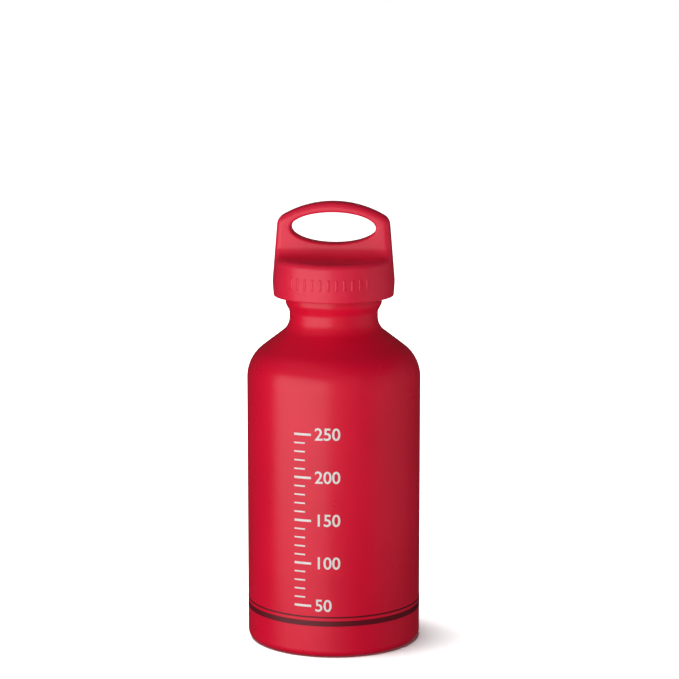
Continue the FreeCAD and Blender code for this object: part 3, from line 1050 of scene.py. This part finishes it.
def bottle_outline(sizes, ink):
    """The bottle's outside from the middle of its base to its rim, and its inside back down."""
    body = sizes.body_radius - ink
    foot_inner = sizes.body_radius - sizes.foot_radius - sizes.foot_width
    neck = sizes.mouth_radius + sizes.neck_wall
    collar = neck + sizes.collar_proud
    inside = sizes.body_radius - sizes.wall
    slope = math.tan(sizes.shoulder_slope)
    waist_low = sizes.shoulder_height + (sizes.body_radius - neck) * slope
    waist_high = waist_low + sizes.waist_height
    collar_low = waist_high + sizes.collar_proud * math.tan(sizes.flare_slope)
    rim = BOTTLE_HIGH.z
    mouth = sizes.mouth_radius
    shoulder_wall = sizes.wall / math.cos(sizes.shoulder_slope)
    inside_corner = sizes.shoulder_height + sizes.wall * slope - shoulder_wall
    inside_waist = inside_corner + (inside - mouth) * slope
    floor = sizes.base_thickness
    outside = dome(foot_inner, 0.0, sizes.dome_rise) + [
        (foot_inner, 0.0, sizes.knee_radius),
        (body, 0.0, sizes.foot_radius),
        (body, sizes.shoulder_height, sizes.shoulder_radius),
        (neck, waist_low, sizes.neck_radius),
        (neck, waist_high, sizes.flare_radius),
        (collar, collar_low, sizes.collar_edge),
        (collar, rim, sizes.rim_radius),
        (mouth + sizes.mouth_chamfer, rim, 0),
    ]
    hollow = [
        (mouth, rim - sizes.mouth_chamfer, 0),
        (mouth, inside_waist, sizes.neck_radius + sizes.neck_wall),
        (inside, inside_corner, sizes.shoulder_radius - sizes.wall),
        (inside, floor, sizes.foot_radius - sizes.wall),
        (foot_inner, floor, sizes.knee_radius),
    ] + dome(foot_inner, floor, sizes.dome_rise)[::-1]
    return rounded_outline(outside + hollow)


class FUELBOTTLE_OT_bottle(bpy.types.Operator):
    """Turns the bottle, coated outside and bare inside."""

    bl_idname = "fuel_bottle.bottle"
    bl_label = "Bottle"

    def execute(self, context):
        settings = context.scene.fuel_bottle
        outline = bottle_outline(settings.bottle, settings.printing.ink)
        segments = settings.bottle.segments
        mesh = lathe("bottle", outline, segments)
        mesh.materials.append(material("red_powder_coat"))
        mesh.materials.append(material("bare_aluminium"))
        highest = max(range(len(outline)), key=lambda i: outline[i].y)
        for face in mesh.polygons:
            face.material_index = int(face.index // segments >= highest)
        settle(add_object("bottle", mesh), "bottle", "bottle_shell")
        return {"FINISHED"}


def numeral_mesh(sizes, number, height):
    """A number as a thin solid in the flat layout, its middle at a height."""
    face = bpy.data.curves.new("numeral", "FONT")
    face.body = str(number)
    face.size = sizes.numeral_size
    face.extrude = sizes.ink
    face.offset = NUMERAL_BOLDNESS * sizes.numeral_size
    face.resolution_u = NUMERAL_CURVE_STEPS
    face.align_y = "CENTER"
    holder = add_object("numeral", face)
    mesh = plain_mesh(holder)
    bpy.data.objects.remove(holder)
    bpy.data.curves.remove(face)
    mesh.transform(Matrix.Rotation(math.pi / 2, 4, "X"))
    mesh.transform(Matrix.Translation((sizes.numeral_left, 0.0, height)))
    return mesh


def numeral_column(sizes, rise):
    """All the scale's numbers in the flat layout, cut into slices so that they can bend."""
    mesh = bpy.data.meshes.new("numerals")
    shape = bmesh.new()
    for number in range(sizes.first_level, sizes.last_level + 1, sizes.long_step):
        numeral = numeral_mesh(sizes, number, sizes.dead_height + number * rise)
        shape.from_mesh(numeral)
        bpy.data.meshes.remove(numeral)
    bmesh.ops.remove_doubles(shape, verts=shape.verts, dist=MERGE_DISTANCE)
    reach = max(v.co.x for v in shape.verts)
    slices = math.floor((reach - sizes.numeral_left) / sizes.slice_width)
    for k in range(1, slices + 1):
        cut = Vector((sizes.numeral_left + k * sizes.slice_width, 0.0, 0.0))
        everything = shape.verts[:] + shape.edges[:] + shape.faces[:]
        bmesh.ops.bisect_plane(shape, geom=everything, plane_co=cut, plane_no=(1.0, 0.0, 0.0))
    shape.to_mesh(mesh)
    shape.free()
    return mesh


class FUELBOTTLE_OT_level_scale(bpy.types.Operator):
    """Prints the level marks and their numbers on the wall."""

    bl_idname = "fuel_bottle.level_scale"
    bl_label = "Level scale"

    def execute(self, context):
        bottle = context.scene.fuel_bottle.bottle
        sizes = context.scene.fuel_bottle.printing
        ink = material("white_ink")
        inside = bottle.body_radius - bottle.wall
        rise = MILLILITRE / (math.pi * inside * inside)
        marks = {
            "Radius": bottle.body_radius,
            "Ink": sizes.ink,
            "Marks": (sizes.last_level - sizes.first_level) // sizes.level_step + 1,
            "Left": sizes.marks_left,
            "Lowest": sizes.dead_height + sizes.first_level * rise,
            "Step": sizes.level_step * rise,
            "Length": sizes.mark_length,
            "Stroke": sizes.mark_height,
            "Long Every": sizes.long_step // sizes.level_step,
            "Long Scale": sizes.long_mark,
            "Finish": ink,
        }
        settle(grown("level_marks", level_tree(), marks), "bottle")
        numbers = {"Radius": bottle.body_radius - sizes.ink, "Finish": ink}
        flat = numeral_column(sizes, rise)
        settle(grown("level_numbers", print_tree(), numbers, flat), "bottle")
        return {"FINISHED"}


class FUELBOTTLE_OT_foot_rings(bpy.types.Operator):
    """Prints two plain rings above the foot."""

    bl_idname = "fuel_bottle.foot_rings"
    bl_label = "Foot rings"

    def execute(self, context):
        bottle = context.scene.fuel_bottle.bottle
        sizes = context.scene.fuel_bottle.printing
        outer = bottle.body_radius
        inner = outer - 2 * sizes.ink
        for name, level, width in (
            ("broad_ring", sizes.ring_level, sizes.ring_width),
            ("thin_ring", sizes.ring_level + sizes.thin_ring_gap, sizes.thin_ring_width),
        ):
            outline = strip_section(inner, outer, level - width / 2, level + width / 2)
            mesh = lathe(name, outline, bottle.segments, closed=True)
            mesh.materials.append(material("dark_ink"))
            settle(add_object(name, mesh), "bottle")
        return {"FINISHED"}


class FUELBOTTLE_OT_seal(bpy.types.Operator):
    """Turns the squeezed sealing ring."""

    bl_idname = "fuel_bottle.seal"
    bl_label = "Sealing ring"

    def execute(self, context):
        settings = context.scene.fuel_bottle
        inner = RING_HIGH.x - settings.stopper.ring_width
        cord = (RING_HIGH.z - RING_LOW.z) / 2
        section = strip_section(inner, RING_HIGH.x, RING_LOW.z, RING_HIGH.z)
        outline = rounded_outline([(r, z, cord) for r, z in section])[:-1]
        mesh = lathe("sealing_ring", outline, settings.bottle.segments, closed=True)
        mesh.materials.append(material("seal_rubber"))
        settle(add_object("sealing_ring", mesh), "seal", "plug_o_ring")
        return {"FINISHED"}


class FUELBOTTLE_OT_plug(bpy.types.Operator):
    """Smooths the black plug."""

    bl_idname = "fuel_bottle.plug"
    bl_label = "Plug"

    def execute(self, context):
        piece = merged_copy("threaded_plug", "plug")
        piece.data.materials.append(material("plug_nylon"))
        settle(piece, "plug", "threaded_plug")
        return {"FINISHED"}


class FUELBOTTLE_OT_threads(bpy.types.Operator):
    """Grows the screw threads in the neck and on the plug."""

    bl_idname = "fuel_bottle.threads"
    bl_label = "Threads"

    def execute(self, context):
        sizes = context.scene.fuel_bottle.stopper
        tree = thread_tree()
        ridge = {
            "Embed": sizes.thread_embed,
            "Width": sizes.thread_width,
            "Pitch": sizes.pitch,
            "Run-out": sizes.run_out,
        }
        neck = ridge | {
            "Radius": context.scene.fuel_bottle.bottle.mouth_radius,
            "Depth": -sizes.thread_depth,
            "Start Height": sizes.neck_thread_start,
            "Bar Span": sizes.neck_thread_span,
            "Finish": material("bare_aluminium"),
        }
        settle(grown("neck_thread", tree, neck), "bottle")
        gap = math.pi - sizes.plug_thread_span
        start = sizes.vent_angle + gap / 2
        plug = ridge | {
            "Radius": sizes.shank_radius,
            "Depth": sizes.thread_depth,
            "Start Height": sizes.plug_thread_start - sizes.pitch * start / FULL_TURN,
            "Start Angle": start,
            "Bars": sizes.plug_thread_bars,
            "Bar Span": sizes.plug_thread_span,
            "Finish": material("plug_nylon"),
        }
        settle(grown("plug_thread", tree, plug), "plug")
        return {"FINISHED"}


class FUELBOTTLE_OT_spring(bpy.types.Operator):
    """Turns the wave spring, which flattens as the cap is pushed."""

    bl_idname = "fuel_bottle.spring"
    bl_label = "Wave spring"

    def execute(self, context):
        sizes = context.scene.fuel_bottle.stopper
        height = SPRING_HIGH.z - SPRING_LOW.z
        swing = (height - sizes.spring_strip) / 2
        low = SPRING_LOW.z + swing
        inner = SPRING_HIGH.x - sizes.spring_width
        outline = strip_section(inner, SPRING_HIGH.x, low, low + sizes.spring_strip)

        def wave(turn):
            return swing * math.sin(sizes.spring_waves * turn)

        mesh = lathe("spring", outline, SPRING_SEGMENTS, closed=True, lift=wave)
        mesh.materials.append(material("bright_steel"))
        piece = add_object("spring", mesh)
        settle(piece, "spring", "wave_spring")
        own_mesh(piece)
        return {"FINISHED"}


class FUELBOTTLE_OT_cap(bpy.types.Operator):
    """Smooths the red cap and lays the grip bars on its skirt."""

    bl_idname = "fuel_bottle.cap"
    bl_label = "Cap"

    def execute(self, context):
        sizes = context.scene.fuel_bottle.stopper
        moulding = material("cap_plastic")
        cap = merged_copy("cap_shell", "cap")
        cap.data.materials.append(moulding)
        bars = {
            "Skirt": cap,
            "Radius": CAP_HIGH.x - sizes.bar_relief,
            "Level": sizes.bar_level,
            "Bars": sizes.bar_count,
            "Pitch": sizes.bar_pitch,
            "Width": sizes.bar_width,
            "Height": sizes.bar_height,
            "Relief": sizes.bar_relief,
            "Finish": moulding,
        }
        settle(grown("grip_bars", grip_tree(), bars), "cap")
        settle(cap, "cap", "cap_shell")
        return {"FINISHED"}


class FUELBOTTLE_OT_stage(bpy.types.Operator):
    """Sets the floor, the lights, the room and the camera."""

    bl_idname = "fuel_bottle.stage"
    bl_label = "Stage"

    def execute(self, context):
        settings = context.scene.fuel_bottle.stage
        floor = self.add_floor()
        self.add_room(context, settings)
        for panel in PANELS:
            self.add_panel(settings, panel)
        self.link_lights(floor, bpy.data.objects["floor_wash"])
        self.add_camera(context, settings)
        context.scene.view_settings.view_transform = "Standard"
        return {"FINISHED"}

    def add_floor(self):
        """A pale board that takes shadows and leaves the bottle's light to the softboxes."""
        mesh = bpy.data.meshes.new("floor")
        quarters = ((-1, -1), (1, -1), (1, 1), (-1, 1))
        corners = [(FLOOR_REACH * x, FLOOR_REACH * y, 0) for x, y in quarters]
        mesh.from_pydata(corners, [], [(0, 1, 2, 3)])
        mesh.materials.append(material("pale_floor"))
        floor = add_object("floor", mesh)
        floor.visible_diffuse = False
        floor.visible_glossy = False
        floor.visible_shadow = False
        return floor

    def add_room(self, context, settings):
        """A room that the camera sees as white and that lights the bottle dimly."""
        world = bpy.data.worlds.new("room")
        world.use_nodes = True
        tree = world.node_tree
        seen = add_node(tree, "ShaderNodeLightPath").outputs["Is Camera Ray"]
        dim = settings.ambient
        room = tree.nodes["Background"]
        link(tree, (1.0, 1.0, 1.0, 1.0), room.inputs["Color"])
        link(tree, calc(tree, "MULTIPLY_ADD", seen, 1.0 - dim, dim), room.inputs["Strength"])
        context.scene.world = world

    def add_panel(self, settings, panel):
        """A soft light that faces the bottle's middle, or lies on the table and shines up."""
        light = bpy.data.lights.new(panel.name, "AREA")
        light.shape = "RECTANGLE"
        light.size = panel.width
        light.size_y = panel.height
        light.energy = getattr(settings, panel.setting) * math.pi * panel.width * panel.height
        turn = settings.azimuth + math.radians(panel.azimuth)
        rise = math.radians(panel.elevation)
        level = math.cos(rise)
        away = Vector((level * math.sin(turn), -level * math.cos(turn), math.sin(rise)))
        lamp = add_object(panel.name, light)
        if panel.flat:
            lamp.location = away * panel.distance
            lamp.rotation_euler = (math.pi, 0.0, turn)
        else:
            lamp.location = away * panel.distance + Vector((0.0, 0.0, PANEL_LEVEL))
            lamp.rotation_euler = (-away).to_track_quat("-Z", "Y").to_euler()
        lamp.visible_camera = False
        lamp.visible_glossy = panel.mirrored

    def link_lights(self, floor, wash):
        """Keeps the wash on the floor, and every other light off it."""
        floor_only = bpy.data.collections.new("floor_only")
        floor_only.objects.link(floor)
        wash.light_linking.receiver_collection = floor_only
        all_but_floor = bpy.data.collections.new("all_but_floor")
        all_but_floor.objects.link(floor)
        all_but_floor.collection_objects[0].light_linking.link_state = "EXCLUDE"
        for light in bpy.context.scene.objects:
            if light.type == "LIGHT" and light != wash:
                light.light_linking.receiver_collection = all_but_floor

    def add_camera(self, context, settings):
        lens = bpy.data.cameras.new("camera")
        lens.lens = settings.lens
        lens.sensor_width = SENSOR_WIDTH
        camera = add_object("camera", lens)
        away = Vector((settings.camera_side, -settings.camera_distance, settings.camera_height))
        camera.location = Matrix.Rotation(settings.azimuth, 4, "Z") @ away
        camera.rotation_euler = (math.pi / 2 - settings.camera_pitch, 0.0, settings.azimuth)
        context.scene.camera = camera


class FUELBOTTLE_PT_sidebar(bpy.types.Panel):
    """Lists the pieces in the order in which they are made."""

    bl_idname = "FUELBOTTLE_PT_sidebar"
    bl_label = "Fuel bottle"
    bl_space_type = "VIEW_3D"
    bl_region_type = "UI"
    bl_category = "Fuel bottle"

    def draw(self, context):
        for step in STEPS:
            self.layout.operator(step.bl_idname)


STEPS = (
    FUELBOTTLE_OT_bottle,
    FUELBOTTLE_OT_level_scale,
    FUELBOTTLE_OT_foot_rings,
    FUELBOTTLE_OT_seal,
    FUELBOTTLE_OT_plug,
    FUELBOTTLE_OT_threads,
    FUELBOTTLE_OT_spring,
    FUELBOTTLE_OT_cap,
    FUELBOTTLE_OT_stage,
)
SETTINGS = (BottleSizes, StopperSizes, PrintSizes, Finishes, StageSettings, FuelBottle)
CLASSES = SETTINGS + STEPS + (FUELBOTTLE_PT_sidebar,)


def register():
    for kind in CLASSES:
        bpy.utils.register_class(kind)
    bpy.types.Scene.fuel_bottle = PointerProperty(type=FuelBottle)


def unregister():
    del bpy.types.Scene.fuel_bottle
    for kind in reversed(CLASSES):
        bpy.utils.unregister_class(kind)


def main():
    register()
    bpy.ops.fuel_bottle.bottle()
    bpy.ops.fuel_bottle.level_scale()
    bpy.ops.fuel_bottle.foot_rings()
    bpy.ops.fuel_bottle.seal()
    bpy.ops.fuel_bottle.plug()
    bpy.ops.fuel_bottle.threads()
    bpy.ops.fuel_bottle.spring()
    bpy.ops.fuel_bottle.cap()
    bpy.ops.fuel_bottle.stage()


if __name__ == "__main__":
    main()
